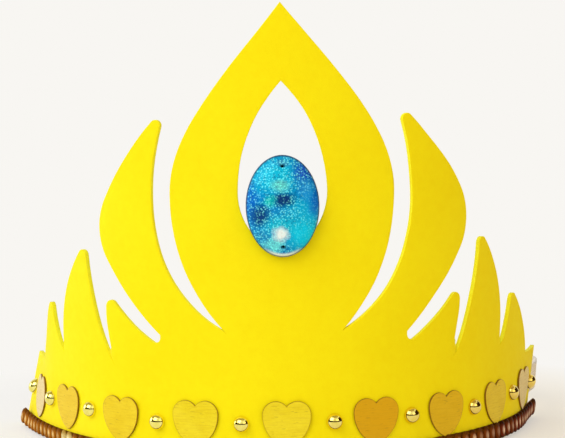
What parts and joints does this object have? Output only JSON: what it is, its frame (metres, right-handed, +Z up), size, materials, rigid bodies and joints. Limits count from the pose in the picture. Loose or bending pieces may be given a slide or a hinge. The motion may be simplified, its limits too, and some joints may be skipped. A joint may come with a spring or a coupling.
{
  "type": "craft crown",
  "caption": "Hand-made foam crown for the front of a head, with pointed leaf shapes, an oval stone, hearts and beads along its band, a braided edge and an elastic strap.",
  "frame": {"origin": "on the floor under the middle of the whole crown, strap included", "axes": "+Z up to the points, the front looks towards -Y, +X to the right of someone looking at the front"},
  "size_m": [0.1838, 0.1586, 0.141],
  "materials": {
    "foam": "matt yellow craft foam",
    "stone": "clear with blue glitter",
    "heart_wood": "gold stain with burnt edges",
    "bead_metal": "bright gold mirror",
    "braid": "shiny brown and gold thread",
    "elastic": "white ribbed elastic"
  },
  "bodies": {
    "root": {"crown_sheet": "foam", "stone": "stone", "heart_1": "heart_wood", "heart_2": "heart_wood", "heart_3": "heart_wood", "heart_4": "heart_wood", "heart_5": "heart_wood", "heart_6": "heart_wood", "heart_7": "heart_wood", "heart_8": "heart_wood", "heart_9": "heart_wood", "bead_1": "bead_metal", "bead_2": "bead_metal", "bead_3": "bead_metal", "bead_4": "bead_metal", "bead_5": "bead_metal", "bead_6": "bead_metal", "bead_7": "bead_metal", "bead_8": "bead_metal", "bead_9": "bead_metal", "bead_10": "bead_metal", "braid": "braid", "back_strap": "elastic"}
  },
  "joints": []
}
